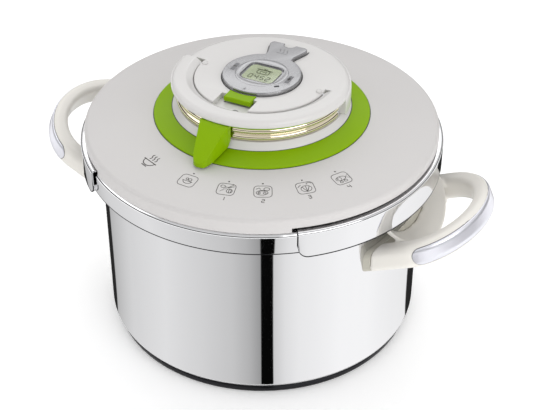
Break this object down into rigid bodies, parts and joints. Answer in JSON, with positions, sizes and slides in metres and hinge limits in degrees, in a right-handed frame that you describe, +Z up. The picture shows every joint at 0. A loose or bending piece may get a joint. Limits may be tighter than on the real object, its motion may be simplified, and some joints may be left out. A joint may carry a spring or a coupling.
{
  "type": "pressure cooker",
  "caption": "Stovetop pressure cooker: steel pot, sloping loop handles, domed lid with two clamping jaws, fold-down bail, program selector and lift-off timer.",
  "frame": {"origin": "centre of the pot's footprint, on the surface it stands on", "axes": "+X along the line through both side handles, -Y towards the selector and release button, +Z up"},
  "size_m": [0.3612, 0.2656, 0.2073],
  "materials": {
    "polished_steel": "mirror polished stainless steel",
    "base_steel": "satin stainless steel",
    "plain_steel": "plain turned or pressed steel",
    "cream_plastic": "smooth semi-gloss heat-proof plastic",
    "pad_plastic": "dull heat-proof plastic",
    "silver_insert": "satin silver paint",
    "white_plastic": "semi-gloss",
    "green_plastic": "semi-gloss",
    "seal_rubber": "silicone rubber",
    "gold_chrome": "bright chrome with a warm tint",
    "silver_plastic": "metallic silver lacquer",
    "dark_plastic": "matt",
    "display": "reflective liquid crystal",
    "lens_glass": "clear"
  },
  "bodies": {
    "pot": {"pot_shell": "polished_steel", "pot_base": "base_steel", "handle_left": "cream_plastic", "handle_right": "cream_plastic", "handle_pad_left": "pad_plastic", "handle_pad_right": "pad_plastic", "handle_insert_left": "silver_insert", "handle_insert_right": "silver_insert", "handle_bracket_left": "plain_steel", "handle_bracket_right": "plain_steel", "handle_screws": "plain_steel"},
    "lid": {"lid_shell": "polished_steel", "lid_gasket": "seal_rubber", "lid_cover": "white_plastic", "cover_screws": "plain_steel", "trim_ring": "green_plastic", "knob_base": "white_plastic", "knob_bolt": "plain_steel", "knob_band": "gold_chrome", "knob_cap": "white_plastic", "bail_pins": "plain_steel", "indicator_bushing": "seal_rubber", "safety_valve": "plain_steel", "safety_valve_nut": "plain_steel", "steam_valve": "plain_steel", "arm_guide_left": "pad_plastic", "arm_guide_right": "pad_plastic"},
    "jaw_right": {"jaw_right": "polished_steel", "jaw_arm_right": "plain_steel", "jaw_rivets_right": "plain_steel"},
    "jaw_left": {"jaw_left": "polished_steel", "jaw_arm_left": "plain_steel", "jaw_rivets_left": "plain_steel"},
    "bail": {"bail": "white_plastic"},
    "selector": {"selector": "green_plastic"},
    "button": {"release_button": "green_plastic"},
    "indicator": {"indicator_pin": "plain_steel"},
    "timer": {"timer_case": "silver_plastic", "timer_back": "dark_plastic", "timer_display": "display", "timer_lens": "lens_glass"},
    "key_minus": {"timer_key_minus": "silver_plastic"},
    "key_plus": {"timer_key_plus": "silver_plastic"}
  },
  "joints": [
    {"name": "lid_lift", "type": "slide", "parent": "pot", "child": "lid", "axis": [0, 0, 1], "range_m": [0, 0.08]},
    {"name": "bail_fold", "type": "hinge", "parent": "lid", "child": "bail", "pos_m": [0, -0.0015, 0.2022], "axis": [-1, 0, 0], "range_deg": [0, 90]},
    {"name": "jaw_right_slide", "type": "slide", "parent": "lid", "child": "jaw_right", "axis": [1, 0, 0], "range_m": [0, 0.012]},
    {"name": "jaw_left_slide", "type": "slide", "parent": "lid", "child": "jaw_left", "axis": [-1, 0, 0], "range_m": [0, 0.012]},
    {"name": "selector_turn", "type": "hinge", "parent": "lid", "child": "selector", "pos_m": [0, 0, 0.1989], "axis": [0, 0, 1], "range_deg": [0, 62]},
    {"name": "button_press", "type": "slide", "parent": "lid", "child": "button", "axis": [0, 0, -1], "range_m": [0, 0.0025], "stiffness_N_per_m": 400, "springref_m": -0.0005},
    {"name": "indicator_rise", "type": "slide", "parent": "lid", "child": "indicator", "axis": [0, 0, 1], "range_m": [0, 0.003]},
    {"name": "timer_lift", "type": "slide", "parent": "lid", "child": "timer", "axis": [0, 0, 1], "range_m": [0, 0.03]},
    {"name": "key_minus_press", "type": "slide", "parent": "timer", "child": "key_minus", "axis": [0, 0, -1], "range_m": [0, 0.0005], "stiffness_N_per_m": 400, "springref_m": -0.0002},
    {"name": "key_plus_press", "type": "slide", "parent": "timer", "child": "key_plus", "axis": [0, 0, -1], "range_m": [0, 0.0005], "stiffness_N_per_m": 400, "springref_m": -0.0002}
  ],
  "couplings": [
    {"joint": "jaw_right_slide", "follows": "bail_fold", "m_per_rad": 0.00763},
    {"joint": "jaw_left_slide", "follows": "bail_fold", "m_per_rad": 0.00763}
  ]
}
